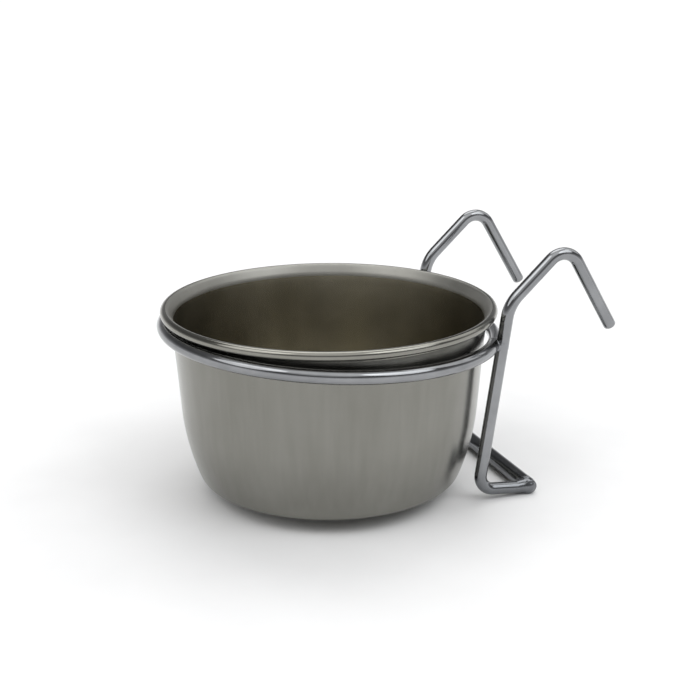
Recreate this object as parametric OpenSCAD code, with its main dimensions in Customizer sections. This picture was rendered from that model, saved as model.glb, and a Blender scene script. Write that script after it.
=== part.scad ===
// Coop cup in a wire holder that hooks over the bars of a cage or hutch.
// Millimetres. Origin: centre of the cup's base, on the surface it stands on.
// +Z is up and +X points from the cup towards the cage wall.

/* [Cup] */
// Outer diameter over the rolled rim
rim_d = 102; // [101:0.5:110]
// Height from the base to the top of the rim
cup_h = 59; // [55:0.2:64]
// Thickness of the drawn steel sheet
sheet_t = 0.6; // [0.5:0.05:0.7]
// Outer radius of the wall where it meets the flare
wall_top_r = 47.8; // [47.4:0.1:48]
// Lean of the straight part of the wall, in degrees
wall_draft = 4.3; // [3.6:0.1:5]
// Height at which the straight wall starts to curve in
wall_foot_z = 27.2; // [25:0.2:29]
// Radius of the wide curve under the straight wall
belly_r = 70; // [64:1:76]
// Radius of the tight curve between wall and base
heel_r = 3.2; // [2.6:0.2:6]
// Radius of the shallow dish pressed into the base
base_r = 95; // [85:1:105]
// Slope of the base where it meets the tight curve, in degrees
base_slope = 18; // [10:0.5:18.5]
// Depth of the flare below the top of the rim
flare_h = 3; // [2.6:0.1:3.6]
// Diameter of the rolled bead round the rim
bead_d = 2.7; // [2.4:0.1:2.9]

/* [Ring] */
// Diameter of the ring's wire
ring_wire_d = 4.1; // [3.6:0.1:4.3]
// Radius of the ring to the middle of its wire
ring_r = 50.3; // [50.1:0.1:50.8]
// Height of the ring's centre above the base
ring_z = 51.2; // [49.4:0.2:51.4]
// Distance of the ring's centre from the cup's axis, towards the cage
ring_shift = 0.2; // [0:0.05:0.4]
// Tilt of the ring, lower on the side of the hooks, in degrees
ring_tilt = 2.8; // [0:0.1:3]
// Width of the gap that the butt weld closes
butt_gap = 1.6; // [1:0.1:2]
// Height of the butt weld's flash above the wire
butt_flash = 0.15; // [0.05:0.05:0.3]

/* [Hooks] */
// Diameter of the two hook wires
hook_wire_d = 3.8; // [3.7:0.1:4]
// Distance between the two hook wires
hook_spacing = 59.6; // [56:0.2:62]
// Reach of a hook's tip from the cup's axis
tip_x = 80.7; // [78:0.1:84]
// Height of a hook's tip
tip_z = 51.2; // [48:0.2:54]
// Reach of a hook's top corner
apex_x = 64.2; // [62:0.2:66]
// Height of a hook's top corner, before it is rounded
apex_z = 78.8; // [76:0.2:82]
// Reach of the shoulder above the ring
shoulder_x = 45.7; // [45.5:0.1:46.2]
// Height of the shoulder
shoulder_z = 61.4; // [60.4:0.2:63]
// Reach of the corner between leg and foot, before it is rounded
heel_x = 37.5; // [37:0.1:38]
// Rise of the foot from its end to that corner
foot_rise = 1.8; // [1.4:0.1:2.6]
// Reach of the foot's end
foot_end_x = 56.5; // [55.8:0.1:57.4]
// Bend radius at the top of a hook
apex_bend = 5.8; // [5:0.1:7]
// Bend radius at the shoulder
shoulder_bend = 11; // [8:0.5:13]
// Bend radius between leg and foot
foot_bend = 4.6; // [4:0.1:5.4]

/* [Crossbar] */
// Diameter of the bar that joins the feet
bar_wire_d = 5; // [4:0.1:5.2]
// Distance of the bar from the cup's axis
bar_x = 54.6; // [54:0.1:55]

/* [Welds] */
// Diameter of the weld nugget between the ring and a leg
ring_weld_d = 4.4; // [4:0.1:4.6]

/* [Hidden] */
$fn = 96;
steel = "lightsteelblue";
chrome = "silver";
weld_tone = "slategray";
// angle between points on the cup's curves
arc_step = 5;
// straight wire laps this far into a bend, and is this much slimmer in radius
bend_lap = 0.2;
bend_step = 0.01;

// cup: derived from the driving dimensions
rim_r = rim_d / 2;
bead_r = bead_d / 2;
bead_c = [rim_r - bead_r, cup_h - bead_r];
flare_z = cup_h - flare_h;
wall_foot_r = wall_top_r - (flare_z - wall_foot_z) * tan(wall_draft);
belly_c = [wall_foot_r - belly_r * cos(wall_draft), wall_foot_z + belly_r * sin(wall_draft)];
heel_y = base_r - (base_r - heel_r) * cos(base_slope);
heel_a = asin((heel_y - belly_c.y) / (belly_r - heel_r));
heel_c = belly_c + (belly_r - heel_r) * dir(heel_a);
base_c = heel_c - (base_r - heel_r) * dir(base_slope - 90);
// the curled edge stops this far round the bead, clear of the wall
curl_end_a = -120;
// the flare leaves the wall round a gentle bend
flare_bend_r = 3.2;
curl_r = bead_r - sheet_t / 2;
flare_foot = [wall_top_r - sheet_t / 2, flare_z];
to_bead = bead_c - flare_foot;
flare_a = atan2(to_bead.y, to_bead.x) + asin(curl_r / norm(to_bead));
flare_top = bead_c + curl_r * dir(flare_a + 90);
wall_a = 90 - wall_draft;
bend_run = flare_bend_r * tan((wall_a - flare_a) / 2);
bend_start = flare_foot - bend_run * dir(wall_a);
bend_end = flare_foot + bend_run * dir(flare_a);
bend_c = bend_start - flare_bend_r * dir(wall_a + 90);

// holder: derived from the driving dimensions
hook_r = hook_wire_d / 2;
bar_r = bar_wire_d / 2;
hook_y = hook_spacing / 2;
end_round = 0.9;
hook_path = [[tip_x, tip_z], [apex_x, apex_z], [shoulder_x, shoulder_z],
             [heel_x, hook_r + foot_rise], [foot_end_x, hook_r]];
hook_bends = [0, apex_bend, shoulder_bend, foot_bend, 0];
butt_a = 2 * asin(butt_gap / 2 / ring_r);

function dir(a) = [cos(a), sin(a)];
function heading(p, q) = atan2(q.y - p.y, q.x - p.x);
// turn from one heading to the next, between -180 and 180
function turn(a, b) = (b - a) - 360 * round((b - a) / 360);

// a point on the tilted ring, at an angle round it
function ring_point(a) = [
    ring_shift + ring_r * cos(a) * cos(ring_tilt),
    ring_r * sin(a),
    ring_z - ring_r * cos(a) * sin(ring_tilt)
];
// the leg's middle line at a height
function leg_point(z) = let (
    low = hook_path[3],
    top = hook_path[2],
    t = (z - low.y) / (top.y - low.y)
) [low.x + t * (top.x - low.x), hook_y, z];
ring_weld_a = asin(hook_y / norm([leg_point(ring_z).x - ring_shift, hook_y]));
ring_weld_c = (ring_point(ring_weld_a) + leg_point(ring_point(ring_weld_a).z)) / 2;

// points along an arc, from angle a0 to a1 either way round
function arc_points(centre, r, a0, a1) = let (
    steps = ceil(abs(a1 - a0) / arc_step)
) [for (i = [0:steps]) centre + r * dir(a0 + (a1 - a0) * i / steps)];

// one face of the cup's sheet from the axis to the curled edge,
// side being its distance outwards from the middle of the sheet
function sheet_face(side) = concat(
    [[0, sheet_t / 2 - side]],
    arc_points(base_c, base_r - sheet_t / 2 + side, -90, base_slope - 90),
    arc_points(heel_c, heel_r - sheet_t / 2 + side, base_slope - 90, heel_a),
    arc_points(belly_c, belly_r - sheet_t / 2 + side, heel_a, -wall_draft),
    arc_points(bend_c, flare_bend_r - side, wall_a + 90, flare_a + 90),
    arc_points(bead_c, curl_r - side, flare_a + 90, curl_end_a)
);
function reversed(list) = [for (i = [len(list) - 1:-1:0]) list[i]];

module cup_section() {
    polygon(concat(sheet_face(sheet_t / 2), reversed(sheet_face(-sheet_t / 2))));
}

// straight wire from p towards q in the XZ plane, with its far edge rounded if it is an end
module wire_run(p, q, d, rounded) {
    edge = rounded ? end_round : 0;
    run = norm(q - p);
    translate([p.x, 0, p.y])
    rotate([0, 90 - heading(p, q), 0])
    rotate_extrude() {
        square([d / 2 - edge, run]);
        square([d / 2, run - edge]);
        translate([d / 2 - edge, run - edge])
        circle(edge);
    }
}

// wire bent round a corner of a path in the XZ plane, always turning left
module wire_bend(corner, a_in, a_out, bend_r, d) {
    change = turn(a_in, a_out);
    start = corner - bend_r * tan(change / 2) * dir(a_in);
    centre = start + bend_r * dir(a_in + 90);
    translate([centre.x, 0, centre.y])
    rotate([90, 0, 0])
    rotate([0, 0, a_in - 90])
    rotate_extrude(angle = change)
    translate([bend_r, 0])
    circle(d = d);
}

// round wire along a path in the XZ plane, with a bend at each inner point;
// straight runs reach a little way into the bends, which are a hair thicker
module wire(path, bends, d) {
    last = len(path) - 1;
    a = [for (i = [0:last - 1]) heading(path[i], path[i + 1])];
    trim = [for (i = [1:last - 1]) bends[i] * tan(turn(a[i - 1], a[i]) / 2) - bend_lap];
    run_d = d - 2 * bend_step;
    wire_run(path[1] - trim[0] * dir(a[0]), path[0], run_d, true);
    wire_run(path[last - 1] + trim[last - 2] * dir(a[last - 1]), path[last], run_d, true);
    for (i = [1:last - 2])
        wire_run(path[i] + trim[i - 1] * dir(a[i]), path[i + 1] - trim[i] * dir(a[i]), run_d, false);
    for (i = [1:last - 1])
        wire_bend(path[i], a[i - 1], a[i], bends[i], d);
}

// the ring's own frame: tilted and shifted from the cup's axis
module in_ring() {
    translate([ring_shift, 0, ring_z])
    rotate([0, ring_tilt, 0])
    children();
}

// arc of ring wire, from one angle through a span
module ring_arc(a, span, d) {
    rotate([0, 0, a])
    rotate_extrude(angle = span)
    translate([ring_r, 0])
    circle(d = d);
}

module hook() {
    wire(hook_path, hook_bends, hook_wire_d);
}

// Drawn bowl with a flared mouth and a curled rim, all one sheet
module cup() {
    color(steel)
    rotate_extrude()
    cup_section();
}

// Hoop that the cup drops into, open where the weld closes it
module ring() {
    color(chrome)
    in_ring()
    ring_arc(butt_a / 2, 360 - butt_a, ring_wire_d);
}

// Butt weld that closes the hoop, between the hooks
module ring_butt_weld() {
    color(weld_tone)
    in_ring()
    ring_arc(-butt_a / 2, butt_a, ring_wire_d + 2 * butt_flash);
}

// Hook, leg and foot on the right, seen from the cup towards the cage
module right_hook() {
    color(chrome)
    translate([0, -hook_y, 0])
    hook();
}

// Hook, leg and foot on the left
module left_hook() {
    color(chrome)
    translate([0, hook_y, 0])
    hook();
}

// Bar between the feet, which bears on the cage wall
module crossbar() {
    color(chrome)
    translate([bar_x, hook_y, bar_r])
    rotate([90, 0, 0])
    cylinder(h = hook_spacing, r = bar_r);
}

// Nugget where the ring crosses the right leg
module right_ring_weld() {
    color(weld_tone)
    translate([ring_weld_c.x, -ring_weld_c.y, ring_weld_c.z])
    sphere(d = ring_weld_d);
}

// Nugget where the ring crosses the left leg
module left_ring_weld() {
    color(weld_tone)
    translate(ring_weld_c)
    sphere(d = ring_weld_d);
}

// Nugget at the right end of the crossbar
module right_foot_weld() {
    color(weld_tone)
    translate([bar_x, -hook_y, bar_r])
    sphere(r = bar_r);
}

// Nugget at the left end of the crossbar
module left_foot_weld() {
    color(weld_tone)
    translate([bar_x, hook_y, bar_r])
    sphere(r = bar_r);
}

cup();
ring();
ring_butt_weld();
right_hook();
left_hook();
crossbar();
right_ring_weld();
left_ring_weld();
right_foot_weld();
left_foot_weld();
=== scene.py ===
"""Feeding cup in a wire holder that hooks over the bars of a cage.

Lengths are in millimetres unless a name says otherwise, and MM turns them into metres.
The origin is under the middle of the cup, +Z is up and +X points to the cage wall.
"""

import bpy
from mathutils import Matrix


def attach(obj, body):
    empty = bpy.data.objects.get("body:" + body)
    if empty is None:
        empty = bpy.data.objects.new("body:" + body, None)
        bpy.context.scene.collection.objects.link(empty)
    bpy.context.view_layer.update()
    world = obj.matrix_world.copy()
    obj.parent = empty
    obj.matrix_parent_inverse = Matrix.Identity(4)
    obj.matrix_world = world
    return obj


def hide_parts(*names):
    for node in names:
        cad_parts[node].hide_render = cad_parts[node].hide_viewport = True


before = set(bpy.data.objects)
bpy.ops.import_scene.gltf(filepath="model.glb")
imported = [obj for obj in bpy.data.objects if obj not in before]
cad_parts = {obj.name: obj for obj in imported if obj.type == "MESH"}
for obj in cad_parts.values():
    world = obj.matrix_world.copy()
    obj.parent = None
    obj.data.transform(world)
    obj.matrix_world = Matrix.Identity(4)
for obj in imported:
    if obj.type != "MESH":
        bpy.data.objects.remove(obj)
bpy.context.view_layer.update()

import math

import bpy
import numpy as np
from mathutils import Vector

MM = 0.001
MICRON = 1e-6
AXIS_Y = np.array([0, 1.0, 0])
AXIS_Z = np.array([0, 0, 1.0])

# ------------------------------------------------------------------ cup dimensions
RIM_D = 102.0
CUP_H = 59.0
SHEET = 0.6
# outer radius of the wall under the flare, its draft in degrees, and the height of its foot
WALL_TOP_R = 47.8
WALL_DRAFT = 4.3
WALL_FOOT_Z = 27.2
# radii of the belly, the heel and the dished base, and the base's slope in degrees at the heel
BELLY_R = 70.0
HEEL_R = 3.2
BASE_R = 95.0
BASE_SLOPE = 18.0
FLARE_H = 3.0
FLARE_BEND_R = 3.2
# the rolled bead at the mouth, and the direction in degrees where its curl ends
BEAD_D = 2.7
CURL_END = -120.0
# rows of the bead, inwards of its top, that share the flare's satin finish
SATIN_ROWS = 8
CUP_SEGMENTS = 288
# waves in the drawn wall: depth, number round the cup, phase, and lean per millimetre of height
WALL_WAVES = ((0.035, 3, 0.6, 0.0), (0.025, 5, 2.1, 0.05), (0.012, 11, 0.9, -0.09))
# the wavy wall is drawn this much inside its nominal radius
WALL_INSET = 0.03
# heights between which the waves rise to full depth over the base, and fade out under the ring
WAVES_RISE = (3.0, 15.0)
WAVES_FADE = (38.0, 52.0)

# ------------------------------------------------------------------ holder dimensions
RING_WIRE = 4.1
RING_R = 50.3
RING_Z = 51.2
RING_SHIFT = 0.2
RING_TILT = 2.8
BUTT_GAP = 1.6

HOOK_WIRE = 3.8
HOOK_SPACING = 59.6
FOOT_RISE = 1.8
# corners of a hook's wire in X and Z, and the bend radius at each
HOOK_TIP = (80.7, 51.2)
HOOK_APEX = (64.2, 78.8)
HOOK_SHOULDER = (45.7, 61.4)
HOOK_HEEL = (37.5, FOOT_RISE + HOOK_WIRE / 2)
HOOK_FOOT_END = (56.5, HOOK_WIRE / 2)
HOOK_PATH = [HOOK_TIP, HOOK_APEX, HOOK_SHOULDER, HOOK_HEEL, HOOK_FOOT_END]
HOOK_BENDS = [0.0, 5.8, 11.0, 4.6, 0.0]
# rounding of the wire's cut ends
END_ROUND = 0.9
# the hooks' wire is drawn this much under its nominal radius, and the crossbar half as much
SLIM = 0.01

BAR_WIRE = 5.0
BAR_X = 54.6

# the right side is at -Y
SIDES = (("right", -1), ("left", 1))
HOOK_Y = HOOK_SPACING / 2

# ------------------------------------------------------------------ weld dimensions
# voxel of the remesh that joins a weld's parts
WELD_VOXEL = 0.16
# how far a weld's sleeve sinks under the wire's face at its ends
SLEEVE_SINK = 0.3
RING_SLEEVE = 3.0
RING_NUGGET_R = 2.0
# the weld runs this far back along the foot, and swells from under the wire's face
FOOT_RUN = 7.0
FOOT_SINK = 0.15
FOOT_SWELL = 0.72
BAR_SLEEVE = 3.4
BAR_SLEEVE_INSET = 1.6
# the web in the corner between foot and crossbar: offset from the bar's end, height and radius
WEB_INSET = 1.7
WEB_Z = 2.15
WEB_R = 2.1


# ------------------------------------------------------------------ geometry tools
def direction(degrees):
    """Unit vector in a plane."""
    angle = math.radians(degrees)
    return np.array([math.cos(angle), math.sin(angle)])


def unit(vector):
    return vector / np.linalg.norm(vector)


def arc(centre, radius, start, end, step):
    """Points on an arc from start to end degrees, about step degrees apart."""
    count = max(2, int(math.ceil(abs(end - start) / step)))
    angles = [start + (end - start) * i / count for i in range(count + 1)]
    return [np.array(centre) + radius * direction(angle) for angle in angles]


def between(a, b, count):
    """The points that split the line from a to b into count parts, without its ends."""
    return [a + (b - a) * i / count for i in range(1, count)]


def link(ob):
    bpy.context.scene.collection.objects.link(ob)
    return ob


def shade_smooth(mesh):
    mesh.polygons.foreach_set("use_smooth", [True] * len(mesh.polygons))


def mesh_object(name, verts, faces, smooth=True):
    mesh = bpy.data.meshes.new(name)
    mesh.from_pydata([tuple(v) for v in verts], [], faces)
    mesh.validate()
    mesh.update()
    if smooth:
        shade_smooth(mesh)
    return link(bpy.data.objects.new(name, mesh))


def grid_faces(rows, segments):
    """Quads between rows of a tube's or ball's points, each row closed on itself."""
    faces = []
    for i in range(rows - 1):
        here, there = i * segments, (i + 1) * segments
        for k in range(segments):
            m = (k + 1) % segments
            faces.append((here + k, here + m, there + m, there + k))
    return faces


def tube(rows, normal, segments):
    """Capped round wire through rows of (centre, heading, radius), normal square to its path."""
    normal = np.array(normal, float)
    turns = np.linspace(0, 2 * math.pi, segments, endpoint=False)
    verts = []
    for centre, heading, radius in rows:
        across = np.cross(np.array(heading, float), normal)
        for turn in turns:
            spoke = math.cos(turn) * normal + math.sin(turn) * across
            verts.append((np.array(centre) + radius * spoke) * MM)
    faces = grid_faces(len(rows), segments)
    for row, outwards in ((0, False), (len(rows) - 1, True)):
        hub = len(verts)
        verts.append(np.array(rows[row][0]) * MM)
        for k in range(segments):
            a = row * segments + k
            b = row * segments + (k + 1) % segments
            faces.append((hub, a, b) if outwards else (hub, b, a))
    return verts, faces


def ball(centre, radius, rows=13, segments=24):
    verts = []
    for i in range(rows):
        polar = math.pi * i / (rows - 1)
        for k in range(segments):
            turn = 2 * math.pi * k / segments
            spoke = np.array([
                math.sin(polar) * math.cos(turn),
                math.sin(polar) * math.sin(turn),
                math.cos(polar),
            ])
            verts.append((np.array(centre) + radius * spoke) * MM)
    return verts, grid_faces(rows, segments)


def bent_path(corners, bends, bend_step=3.0, run=2.0):
    """Points and headings along a wire in the XZ plane, with a bend at each inner corner.

    bend_step is the degrees between points in a bend, and run their distance on a straight.
    """
    points, headings = [], []
    corners = [np.array(corner, float) for corner in corners]
    legs = [unit(b - a) for a, b in zip(corners, corners[1:])]

    def add_straight(a, b):
        length = np.linalg.norm(b - a)
        count = max(2, int(length / run))
        for i in range(count):
            points.append(a + (b - a) * i / count)
            headings.append((b - a) / length)

    here = corners[0]
    for i in range(1, len(corners) - 1):
        u, v = legs[i - 1], legs[i]
        turn = math.atan2(u[0] * v[1] - u[1] * v[0], float(u @ v))
        setback = bends[i] * math.tan(abs(turn) / 2)
        start = corners[i] - setback * u
        add_straight(here, start)
        side = 1 if turn > 0 else -1
        centre = start + side * bends[i] * np.array([-u[1], u[0]])
        spoke = start - centre
        count = max(4, int(abs(math.degrees(turn)) / bend_step))
        for k in range(count):
            c, s = math.cos(turn * k / count), math.sin(turn * k / count)
            spin = np.array([[c, -s], [s, c]])
            points.append(centre + spin @ spoke)
            headings.append(spin @ u)
        here = corners[i] + setback * v
    add_straight(here, corners[-1])
    points.append(corners[-1])
    headings.append(legs[-1])
    return points, headings


def rounded_rows(points, headings, radius, steps=5):
    """Rows of (point, heading, radius) along a wire, with its two cut ends rounded."""
    quarter = [math.radians(90 * i / steps) for i in range(steps + 1)]
    ends = [(END_ROUND * (1 - math.sin(a)), radius - END_ROUND * (1 - math.cos(a))) for a in quarter]
    rows = [(points[0] + headings[0] * inset, headings[0], r) for inset, r in reversed(ends)]
    rows += [(point, heading, radius) for point, heading in zip(points[1:-1], headings[1:-1])]
    rows += [(points[-1] - headings[-1] * inset, headings[-1], r) for inset, r in ends]
    return rows


def finish_piece(piece, node, body, slot, *materials):
    """Gives a piece its materials, and says which node it replaces and which body it rides."""
    for material in materials:
        piece.data.materials.append(material)
    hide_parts(node)
    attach(piece, body)


# ------------------------------------------------------------------ node tools
def fill_ramp(node, stops):
    """Sets a colour ramp's stops, (position, colour) from its start to its end."""
    elements = node.color_ramp.elements
    for element, (position, colour) in ((elements[0], stops[0]), (elements[1], stops[-1])):
        element.position = position
        element.color = (*colour, 1)
    for position, colour in stops[1:-1]:
        elements.new(position).color = (*colour, 1)


class Nodes:
    """A new material with a Principled shader, and short calls that add nodes to it."""

    def __init__(self, name, metallic=1.0):
        self.mat = bpy.data.materials.new(name)
        self.mat.use_nodes = True
        self.tree = self.mat.node_tree
        self.tree.nodes.clear()
        output = self.add("ShaderNodeOutputMaterial")
        self.shader = self.add("ShaderNodeBsdfPrincipled")
        self.link(self.shader.outputs["BSDF"], output.inputs["Surface"])
        self.coord = self.add("ShaderNodeTexCoord").outputs["Object"]
        self.set("Metallic", metallic)

    def add(self, kind, **props):
        node = self.tree.nodes.new(kind)
        for key, value in props.items():
            setattr(node, key, value)
        return node

    def link(self, a, b):
        self.tree.links.new(a, b)

    def set(self, socket, value):
        """Sets a value that is the same all over the surface."""
        self.shader.inputs[socket].default_value = value

    def drive(self, socket, value):
        """Links a shader's socket to a node's output."""
        self.link(value, self.shader.inputs[socket])

    def height(self):
        node = self.add("ShaderNodeSeparateXYZ")
        self.link(self.coord, node.inputs[0])
        return node.outputs["Z"]

    def scaled(self, scale):
        node = self.add("ShaderNodeMapping")
        node.inputs["Scale"].default_value = scale
        self.link(self.coord, node.inputs["Vector"])
        return node.outputs["Vector"]

    def noise(self, scale, detail, rough, vector=None):
        node = self.add("ShaderNodeTexNoise")
        node.inputs["Scale"].default_value = scale
        node.inputs["Detail"].default_value = detail
        node.inputs["Roughness"].default_value = rough
        self.link(vector or self.coord, node.inputs["Vector"])
        return node.outputs["Fac"]

    def ramp(self, value, *stops):
        node = self.add("ShaderNodeValToRGB")
        fill_ramp(node, stops)
        self.link(value, node.inputs["Fac"])
        return node.outputs["Color"]

    def spread(self, value, lo, hi, out_lo, out_hi):
        """Maps lo..hi onto out_lo..out_hi, and holds the ends beyond it."""
        node = self.add("ShaderNodeMapRange")
        node.inputs["From Min"].default_value = lo
        node.inputs["From Max"].default_value = hi
        node.inputs["To Min"].default_value = out_lo
        node.inputs["To Max"].default_value = out_hi
        self.link(value, node.inputs["Value"])
        return node.outputs["Result"]

    def math(self, operation, a, b):
        node = self.add("ShaderNodeMath", operation=operation)
        for i, value in enumerate((a, b)):
            if isinstance(value, (int, float)):
                node.inputs[i].default_value = value
            else:
                self.link(value, node.inputs[i])
        return node.outputs[0]

    def mix(self, factor, base, colour, blend="MIX"):
        """Blends a fixed colour over a node's colour."""
        node = self.add("ShaderNodeMix", data_type="RGBA", blend_type=blend)
        # the colour mode's factor, A and B are sockets 0, 6 and 7, and its result is output 2
        self.link(factor, node.inputs[0])
        self.link(base, node.inputs[6])
        node.inputs[7].default_value = (*colour, 1)
        return node.outputs[2]

    def bump(self, height, microns, normal=None):
        node = self.add("ShaderNodeBump")
        node.inputs["Distance"].default_value = microns * MICRON
        self.link(height, node.inputs["Height"])
        if normal is not None:
            self.link(normal, node.inputs["Normal"])
        return node.outputs["Normal"]


# ------------------------------------------------------------------ materials
# Colours are linear RGB, noise scales are per metre, and bump depths are in microns.
STREAK_SHARE = 0.55
SMUDGE_SHARE = 0.45
# painted shade near the floor darkens the plating: wholly below the first height, not at all above the
# second
PAINTED_SHADE_HEIGHTS = (5.0, 13.0)
PAINTED_SHADE_TINT = (0.68, 0.69, 0.7)
# a pit's colour as a share of the plating's, and how much rougher it is
PIT_DARK = 0.35
PIT_ROUGH = 0.3


def steel(name, *, dark, light, rough, streak, brush, bump, wave, aniso, grit=1.0, shade=None):
    """Drawn stainless sheet: streaks along the draw, polishing lines, smudges and soft waves.

    streak and brush are noise scales in X, Y and Z, and grit is how much the polishing lines
    vary the roughness. shade is (height without it, height with all of it, colour), a colour
    blended in by height: painted shade under the flare on the outer wall, a tint on the inner base.
    """
    m = Nodes(name)
    tangent = m.add("ShaderNodeTangent", direction_type="RADIAL", axis="Z")
    m.drive("Tangent", tangent.outputs["Tangent"])
    m.set("Anisotropic", aniso)
    # a quarter turn, which puts the blur along the draw
    m.set("Anisotropic Rotation", 0.25)
    streaks = m.noise(1.0, 4.0, 0.6, m.scaled(streak))
    lines = m.noise(1.0, 4.0, 0.6, m.scaled(brush))
    smudges = m.noise(55.0, 3.0, 0.55)
    waves = m.noise(22.0, 2.0, 0.5)
    streak_tone = m.math("MULTIPLY", streaks, STREAK_SHARE)
    smudge_tone = m.math("MULTIPLY", smudges, SMUDGE_SHARE)
    colour = m.ramp(m.math("ADD", streak_tone, smudge_tone), (0.25, dark), (0.75, light))
    # a colour blended in by height: painted shade on the outer wall under the flare, a plain tint on the
    # inner base
    if shade:
        start, full, shade_colour = shade
        fade = m.spread(m.height(), start * MM, full * MM, 0.0, 1.0)
        colour = m.mix(fade, colour, shade_colour)
    m.drive("Base Color", colour)
    base_rough = m.spread(smudges, 0.2, 0.8, *rough)
    m.drive("Roughness", m.math("ADD", base_rough, m.spread(lines, 0.3, 0.7, -0.02 * grit, 0.03 * grit)))
    m.drive("Normal", m.bump(lines, bump, m.bump(waves, wave)))
    return m.mat


def plated(name, *, dark, light, rough, bump, pit):
    """Bright plating on drawn wire: a slight orange peel, dull patches, small pits, and painted shade that
    darkens it towards the floor.

    pit is the noise level where pits start, so a lower one gives more of them.
    """
    m = Nodes(name)
    patches = m.noise(70.0, 3.0, 0.6)
    peel = m.noise(900.0, 3.0, 0.5)
    grain = m.noise(2600.0, 2.0, 0.5)
    pits = m.spread(m.noise(1500.0, 2.0, 0.6), pit, pit + 0.05, 0.0, 1.0)
    colour = m.ramp(patches, (0.34, dark), (0.66, light))
    colour = m.mix(pits, colour, [PIT_DARK * c for c in dark])
    # painted shade: the plating's colour darkens towards the floor
    wholly, not_at_all = PAINTED_SHADE_HEIGHTS
    low = m.spread(m.height(), not_at_all * MM, wholly * MM, 0.0, 1.0)
    m.drive("Base Color", m.mix(low, colour, PAINTED_SHADE_TINT, "MULTIPLY"))
    base_rough = m.spread(patches, 0.35, 0.7, *rough)
    m.drive("Roughness", m.math("ADD", base_rough, m.math("MULTIPLY", pits, PIT_ROUGH)))
    m.drive("Normal", m.bump(grain, 0.35 * bump, m.bump(peel, bump)))
    return m.mat


# the outer wall darkens between 53.6 and 55.4 mm high: painted shade of the crevice under the flare
OUTER = steel("cup_outer_steel", dark=(0.203, 0.2, 0.178), light=(0.262, 0.259, 0.236),
              rough=(0.18, 0.25), streak=(330, 330, 14), brush=(60, 60, 2400),
              bump=0.7, wave=40, aniso=0.85, shade=(53.6, 55.4, (0.086, 0.085, 0.077)))
INNER = steel("cup_inner_steel", dark=(0.345, 0.323, 0.257), light=(0.475, 0.447, 0.362),
              rough=(0.21, 0.28), streak=(160, 160, 6), brush=(420, 420, 12),
              bump=0, wave=12, aniso=0.6, grit=0.0, shade=(9.0, 4.0, (0.36, 0.352, 0.322)))
RIM = steel("cup_rim_steel", dark=(0.225, 0.221, 0.196), light=(0.28, 0.275, 0.248),
            rough=(0.13, 0.2), streak=(120, 120, 400), brush=(60, 60, 2600),
            bump=0.4, wave=20, aniso=0.3)
FLARE = steel("cup_flare_steel", dark=(0.285, 0.281, 0.257), light=(0.36, 0.355, 0.329),
              rough=(0.42, 0.48), streak=(120, 120, 60), brush=(60, 60, 2600),
              bump=0.3, wave=20, aniso=0.2)
CHROME = plated("wire_chrome", dark=(0.237, 0.242, 0.25), light=(0.31, 0.316, 0.326),
                rough=(0.08, 0.16), bump=2.0, pit=0.74)
WELD = plated("weld_chrome", dark=(0.245, 0.25, 0.26), light=(0.32, 0.327, 0.338),
              rough=(0.2, 0.3), bump=5.0, pit=0.7)
# indices of OUTER, INNER, RIM and FLARE in the cup's material slots
ON_OUTER, ON_INNER, ON_RIM, ON_FLARE = range(4)


# ------------------------------------------------------------------ cup
def cup_face(side):
    """One face of the sheet in R and Z, side outwards from its middle.

    Returns the points of the wall, from the axis up, then of the flare, then of the bead.
    """
    half = SHEET / 2
    bead_r = BEAD_D / 2
    bead_c = np.array([RIM_D / 2 - bead_r, CUP_H - bead_r])
    curl_r = bead_r - half
    flare_z = CUP_H - FLARE_H
    foot_r = WALL_TOP_R - (flare_z - WALL_FOOT_Z) * math.tan(math.radians(WALL_DRAFT))
    belly_c = np.array([foot_r, WALL_FOOT_Z]) - BELLY_R * direction(-WALL_DRAFT)
    heel_z = BASE_R - (BASE_R - HEEL_R) * math.cos(math.radians(BASE_SLOPE))
    heel_a = math.degrees(math.asin((heel_z - belly_c[1]) / (BELLY_R - HEEL_R)))
    heel_c = belly_c + (BELLY_R - HEEL_R) * direction(heel_a)
    base_c = heel_c - (BASE_R - HEEL_R) * direction(BASE_SLOPE - 90)

    # the flare runs from the wall's top to its tangent on the bead
    flare_foot = np.array([WALL_TOP_R - half, flare_z])
    to_bead = bead_c - flare_foot
    flare_a = math.degrees(math.atan2(to_bead[1], to_bead[0]) + math.asin(curl_r / np.linalg.norm(to_bead)))
    wall_a = 90 - WALL_DRAFT
    bend_run = FLARE_BEND_R * math.tan(math.radians((wall_a - flare_a) / 2))
    bend_c = flare_foot - bend_run * direction(wall_a) - FLARE_BEND_R * direction(wall_a + 90)

    flat = [np.array([r, half - side]) for r in np.linspace(0, base_c[0], 8)[:-1]]
    base = arc(base_c, BASE_R - half + side, -90, BASE_SLOPE - 90, 1.0)
    heel = arc(heel_c, HEEL_R - half + side, BASE_SLOPE - 90, heel_a, 4.0)[1:]
    belly = arc(belly_c, BELLY_R - half + side, heel_a, -WALL_DRAFT, 1.5)[1:]
    bend = arc(bend_c, FLARE_BEND_R - side, wall_a + 90, flare_a + 90, 6.0)
    bead = arc(bead_c, curl_r - side, flare_a + 90, CURL_END, 7.0)
    wall = flat + base + heel + belly + between(belly[-1], bend[0], 14)
    flare = bend + between(bend[-1], bead[0], 3)
    return wall, flare, bead


def ramp_between(value, lo, hi):
    """0 below lo, 1 above hi."""
    return min(1.0, max(0.0, (value - lo) / (hi - lo)))


def out_of_round(z, theta):
    """How far the drawn wall strays from its radius at each angle: hundredths of a millimetre."""
    fade = ramp_between(z, *WAVES_RISE) * (1 - ramp_between(z, *WAVES_FADE))
    waves = [depth * np.cos(count * theta + phase + lean * z) for depth, count, phase, lean in WALL_WAVES]
    return fade * (sum(waves) - WALL_INSET)


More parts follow.
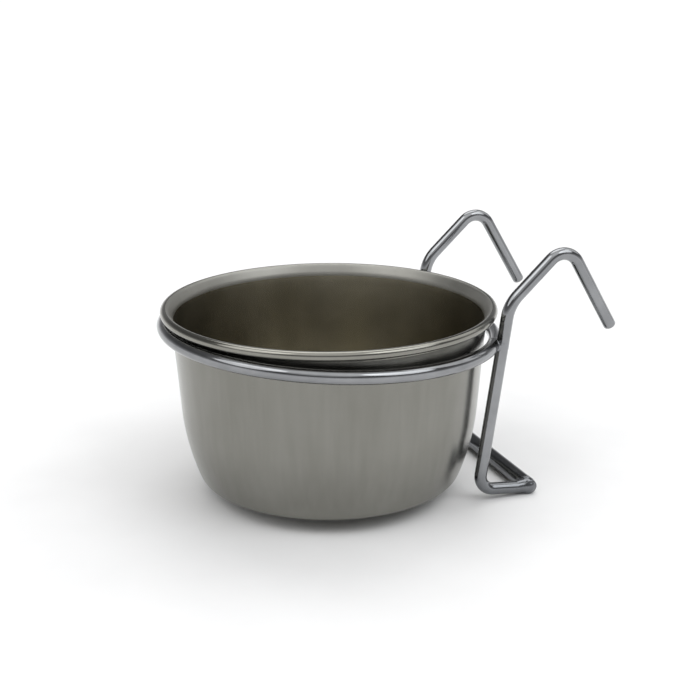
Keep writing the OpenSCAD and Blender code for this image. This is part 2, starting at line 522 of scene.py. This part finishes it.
def build_cup():
    wall, flare, bead = cup_face(SHEET / 2)
    outer = wall + flare + bead
    inner = [point for part in cup_face(-SHEET / 2) for point in part]
    profile = outer + inner[::-1]
    theta = np.linspace(0, 2 * math.pi, CUP_SEGMENTS, endpoint=False)
    verts, rows = [], []
    for r, z in profile:
        start = len(verts)
        if r < 1e-6:
            rows.append([start] * CUP_SEGMENTS)
            verts.append((0, 0, z * MM))
            continue
        for turn, stray in zip(theta, out_of_round(z, theta)):
            verts.append(((r + stray) * math.cos(turn) * MM, (r + stray) * math.sin(turn) * MM, z * MM))
        rows.append(range(start, start + CUP_SEGMENTS))

    # the profile goes up the outside and comes back down the inside
    rim_start = len(wall)
    rim_end = len(profile) - 1 - len(wall)
    satin_start = len(outer) + len(bead) - SATIN_ROWS
    faces, face_materials = [], []
    for i in range(len(profile) - 1):
        if satin_start <= i < rim_end:
            material = ON_FLARE
        elif rim_start <= i < rim_end:
            material = ON_RIM
        else:
            material = ON_INNER if i >= len(outer) else ON_OUTER
        for k in range(CUP_SEGMENTS):
            m = (k + 1) % CUP_SEGMENTS
            corners = [rows[i][k], rows[i][m], rows[i + 1][m], rows[i + 1][k]]
            # next to the axis two corners are one point
            faces.append(tuple(v for a, v in enumerate(corners) if v != corners[a - 1]))
            face_materials.append(material)
    shell = mesh_object("cup_shell", verts, faces)
    finish_piece(shell, "cup", "cup", "cup_steel", OUTER, INNER, RIM, FLARE)
    shell.data.polygons.foreach_set("material_index", face_materials)


build_cup()

# ------------------------------------------------------------------ ring
TILT = math.radians(RING_TILT)
RING_NORMAL = np.array([math.sin(TILT), 0, math.cos(TILT)])
RING_AHEAD = np.array([math.cos(TILT), 0, -math.sin(TILT)])
RING_CENTRE = np.array([RING_SHIFT, 0, RING_Z])
# half the angle that the butt joint's gap spans
BUTT = math.asin(BUTT_GAP / 2 / RING_R)


def ring_at(angle):
    """Centre and heading of the ring's wire at an angle from the cage side."""
    centre = RING_CENTRE + RING_R * (math.cos(angle) * RING_AHEAD + math.sin(angle) * AXIS_Y)
    return centre, -math.sin(angle) * RING_AHEAD + math.cos(angle) * AXIS_Y


def ring_piece(name, start, end, steps, radius):
    """A stretch of the ring; radius gives the wire's radius from 0 at its start to 1 at its end."""
    rows = []
    for i in range(steps + 1):
        centre, heading = ring_at(start + (end - start) * i / steps)
        rows.append((centre, heading, radius(i / steps)))
    return mesh_object(name, *tube(rows, RING_NORMAL, 48))


def upset(t):
    """A pair of low ridges where the ends were pressed together, dying out to the wire."""
    off = abs(t - 0.5) * 2
    ridge = math.exp(-((off - 0.25) / 0.2) ** 2)
    return RING_WIRE / 2 - 0.1 * off ** 3 + 0.13 * ridge


ring = ring_piece("ring_wire", BUTT, 2 * math.pi - BUTT, 360, lambda t: RING_WIRE / 2)
finish_piece(ring, "ring", "holder", "wire_chrome", CHROME)
butt = ring_piece("ring_butt_bead", -1.9 * BUTT, 1.9 * BUTT, 36, upset)
finish_piece(butt, "ring_butt_weld", "holder", "weld_chrome", WELD)

# ------------------------------------------------------------------ hooks and crossbar
HOOK_ROWS = rounded_rows(*bent_path(HOOK_PATH, HOOK_BENDS), HOOK_WIRE / 2 - SLIM)
for side, sign in SIDES:
    rows = [((p[0], sign * HOOK_Y, p[1]), (h[0], 0, h[1]), radius) for p, h, radius in HOOK_ROWS]
    hook = mesh_object(f"{side}_hook_wire", *tube(rows, AXIS_Y, 44))
    finish_piece(hook, f"{side}_hook", "holder", "wire_chrome", CHROME)

BAR_ROWS = [((BAR_X, y, BAR_WIRE / 2), AXIS_Y, (BAR_WIRE - SLIM) / 2)
            for y in np.linspace(-HOOK_Y, HOOK_Y, 31)]
bar = mesh_object("crossbar_wire", *tube(BAR_ROWS, AXIS_Z, 44))
finish_piece(bar, "crossbar", "holder", "wire_chrome", CHROME)


# ------------------------------------------------------------------ welds
def sleeve(centre, axis, normal, length, radius, grow):
    """A sleeve on a wire, grow proud of it at its middle and sunk into it at its ends."""
    rows = []
    for t in np.linspace(-1, 1, 15):
        swell = grow - (grow + SLEEVE_SINK) * abs(t) ** 2.2
        rows.append((centre + axis * length * t, axis, radius + swell))
    return tube(rows, normal, 32)


def weld(name, node, parts, smoothing):
    """Joins the parts into one lump of weld metal."""
    verts, faces = [], []
    for part_verts, part_faces in parts:
        base = len(verts)
        verts += part_verts
        faces += [tuple(base + i for i in face) for face in part_faces]
    raw = mesh_object(name + "_raw", verts, faces)
    remesh = raw.modifiers.new("remesh", "REMESH")
    remesh.mode = "VOXEL"
    remesh.voxel_size = WELD_VOXEL * MM
    smooth = raw.modifiers.new("smooth", "SMOOTH")
    smooth.factor = 0.5
    smooth.iterations = smoothing
    mesh = bpy.data.meshes.new_from_object(raw.evaluated_get(bpy.context.evaluated_depsgraph_get()))
    mesh.name = name
    shade_smooth(mesh)
    bpy.data.objects.remove(raw)
    nugget = link(bpy.data.objects.new(name, mesh))
    finish_piece(nugget, node, "holder", "weld_chrome", WELD)


def leg_at(z, y):
    """Centre and heading of a leg's wire at a height."""
    heel, shoulder = np.array(HOOK_HEEL), np.array(HOOK_SHOULDER)
    x = heel[0] + (z - heel[1]) / (shoulder[1] - heel[1]) * (shoulder[0] - heel[0])
    up = unit(shoulder - heel)
    return np.array([x, y, z]), np.array([up[0], 0, up[1]])


# the ring touches each leg at this angle from the cage side
WELD_ANGLE = math.asin(HOOK_Y / math.hypot(leg_at(RING_Z, 0)[0][0] - RING_SHIFT, HOOK_Y))


def weld_ring(side, sign):
    """The weld where the ring touches a leg."""
    on_ring, ring_heading = ring_at(sign * WELD_ANGLE)
    on_leg, leg_heading = leg_at(on_ring[2], sign * HOOK_Y)
    touch = on_ring + unit(on_leg - on_ring) * RING_WIRE / 2
    weld(f"{side}_ring_nugget", f"{side}_ring_weld", [
        sleeve(on_ring, ring_heading, RING_NORMAL, RING_SLEEVE, RING_WIRE / 2, grow=0.05),
        sleeve(on_leg, leg_heading, AXIS_Y, RING_SLEEVE, HOOK_WIRE / 2, grow=0.05),
        ball(touch, RING_NUGGET_R),
    ], smoothing=10)


def weld_foot(side, sign):
    """The weld that runs the crossbar's end into a foot's."""
    y = sign * HOOK_Y
    foot_end = np.array([HOOK_FOOT_END[0], y, HOOK_FOOT_END[1]])
    bar_end = np.array([BAR_X, y, BAR_WIRE / 2])
    along = unit(foot_end - np.array([HOOK_HEEL[0], y, HOOK_HEEL[1]]))
    swell = []
    for t in np.linspace(0, 1, 15):
        centre = foot_end - along * FOOT_RUN * (1 - t) + (bar_end - foot_end) * t
        swell.append((centre, along, HOOK_WIRE / 2 - FOOT_SINK + FOOT_SWELL * t ** 1.3))
    on_bar = np.array([BAR_X, sign * (HOOK_Y - BAR_SLEEVE_INSET), BAR_WIRE / 2])
    weld(f"{side}_foot_nugget", f"{side}_foot_weld", [
        tube(swell, AXIS_Y, 32),
        sleeve(on_bar, AXIS_Y, AXIS_Z, BAR_SLEEVE, BAR_WIRE / 2, grow=0.02),
        ball(bar_end, BAR_WIRE / 2 - SLIM),
        ball((BAR_X - WEB_INSET, sign * (HOOK_Y - WEB_INSET), WEB_Z), WEB_R),
    ], smoothing=22)


for side, sign in SIDES:
    weld_ring(side, sign)
    weld_foot(side, sign)

# ------------------------------------------------------------------ floor
FLOOR_HALF_M = 6
FLOOR_CORNERS = [(x * FLOOR_HALF_M, y * FLOOR_HALF_M, 0) for x, y in ((-1, -1), (1, -1), (1, 1), (-1, 1))]
floor = mesh_object("floor", FLOOR_CORNERS, [(0, 1, 2, 3)], smooth=False)
card = Nodes("floor_card", metallic=0.0)
card.set("Specular IOR Level", 0.1)
grain = card.noise(30.0, 3.0, 0.5)
card.drive("Base Color", card.ramp(grain, (0.3, (0.90, 0.90, 0.90)), (0.7, (0.93, 0.93, 0.93))))
card.drive("Roughness", card.spread(grain, 0.3, 0.7, 0.8, 0.95))
floor.data.materials.append(card.mat)

# ------------------------------------------------------------------ light
# the sky's brightness by the sine of its elevation, a touch cool between horizon and zenith
HORIZON = (0.0, (1.0, 1.0, 1.0))
ZENITH = (1.0, (0.2, 0.2, 0.2))
SKY = ((0.03, 0.98), (0.08, 0.78), (0.2, 0.32), (0.42, 0.14), (0.72, 0.18), (0.9, 0.25))
COOL = 1.01

# softboxes: name, azimuth and elevation, width across in degrees, power and colour
WHITE = (1, 1, 1)
SOFTBOXES = (
    ("back_box", 75, 60, 44, 0.78, WHITE),
    ("top_box", -90, 84, 84, 0.7, WHITE),
    ("left_box", -172, 44, 44, 0.72, WHITE),
    ("right_box", -48, 46, 40, 0.72, (0.97, 0.985, 1.0)),
    ("front_box", -112, 56, 60, 0.42, WHITE),
    ("side_box", 12, 40, 44, 0.45, WHITE),
)


def towards(azimuth, elevation):
    """Unit vector to a place in the sky, with the azimuth in degrees from +X."""
    a, e = math.radians(azimuth), math.radians(elevation)
    return Vector((math.cos(a) * math.cos(e), math.sin(a) * math.cos(e), math.sin(e)))


def build_sky():
    world = bpy.data.worlds.new("studio")
    bpy.context.scene.world = world
    world.use_nodes = True
    nodes, links = world.node_tree.nodes, world.node_tree.links
    nodes.clear()
    output = nodes.new("ShaderNodeOutputWorld")
    background = nodes.new("ShaderNodeBackground")
    coord = nodes.new("ShaderNodeTexCoord")
    split = nodes.new("ShaderNodeSeparateXYZ")
    ramp = nodes.new("ShaderNodeValToRGB")
    fill_ramp(ramp, [HORIZON, *((z, (v, v, v * COOL)) for z, v in SKY), ZENITH])
    links.new(coord.outputs["Generated"], split.inputs[0])
    links.new(split.outputs["Z"], ramp.inputs["Fac"])
    links.new(ramp.outputs["Color"], background.inputs["Color"])
    links.new(background.outputs["Background"], output.inputs["Surface"])


def soft_sun(name, azimuth, elevation, width, power, colour):
    """A distant softbox, an even light over the whole floor."""
    data = bpy.data.lights.new(name, "SUN")
    data.angle = math.radians(width)
    data.energy = power
    data.color = colour
    sun = link(bpy.data.objects.new(name, data))
    sun.rotation_euler = towards(azimuth, elevation).to_track_quat("Z", "Y").to_euler()


build_sky()
for softbox in SOFTBOXES:
    soft_sun(*softbox)

# ------------------------------------------------------------------ camera
CAMERA_AZIMUTH = -110.66
CAMERA_ELEVATION = 17.62
CAMERA_DISTANCE = 381.8
CAMERA_AIM = (0.0, -18.05, 49.1)
LENS_MM = 66.857143
SENSOR_MM = 36.0


def build_camera():
    back = towards(CAMERA_AZIMUTH, CAMERA_ELEVATION)
    data = bpy.data.cameras.new("camera")
    data.lens = LENS_MM
    data.sensor_width = SENSOR_MM
    data.clip_start = 0.01
    camera = link(bpy.data.objects.new("camera", data))
    camera.location = Vector(CAMERA_AIM) * MM + back * CAMERA_DISTANCE * MM
    camera.rotation_euler = (-back).to_track_quat("-Z", "Y").to_euler()
    bpy.context.scene.camera = camera


build_camera()
bpy.context.scene.view_settings.view_transform = "Standard"
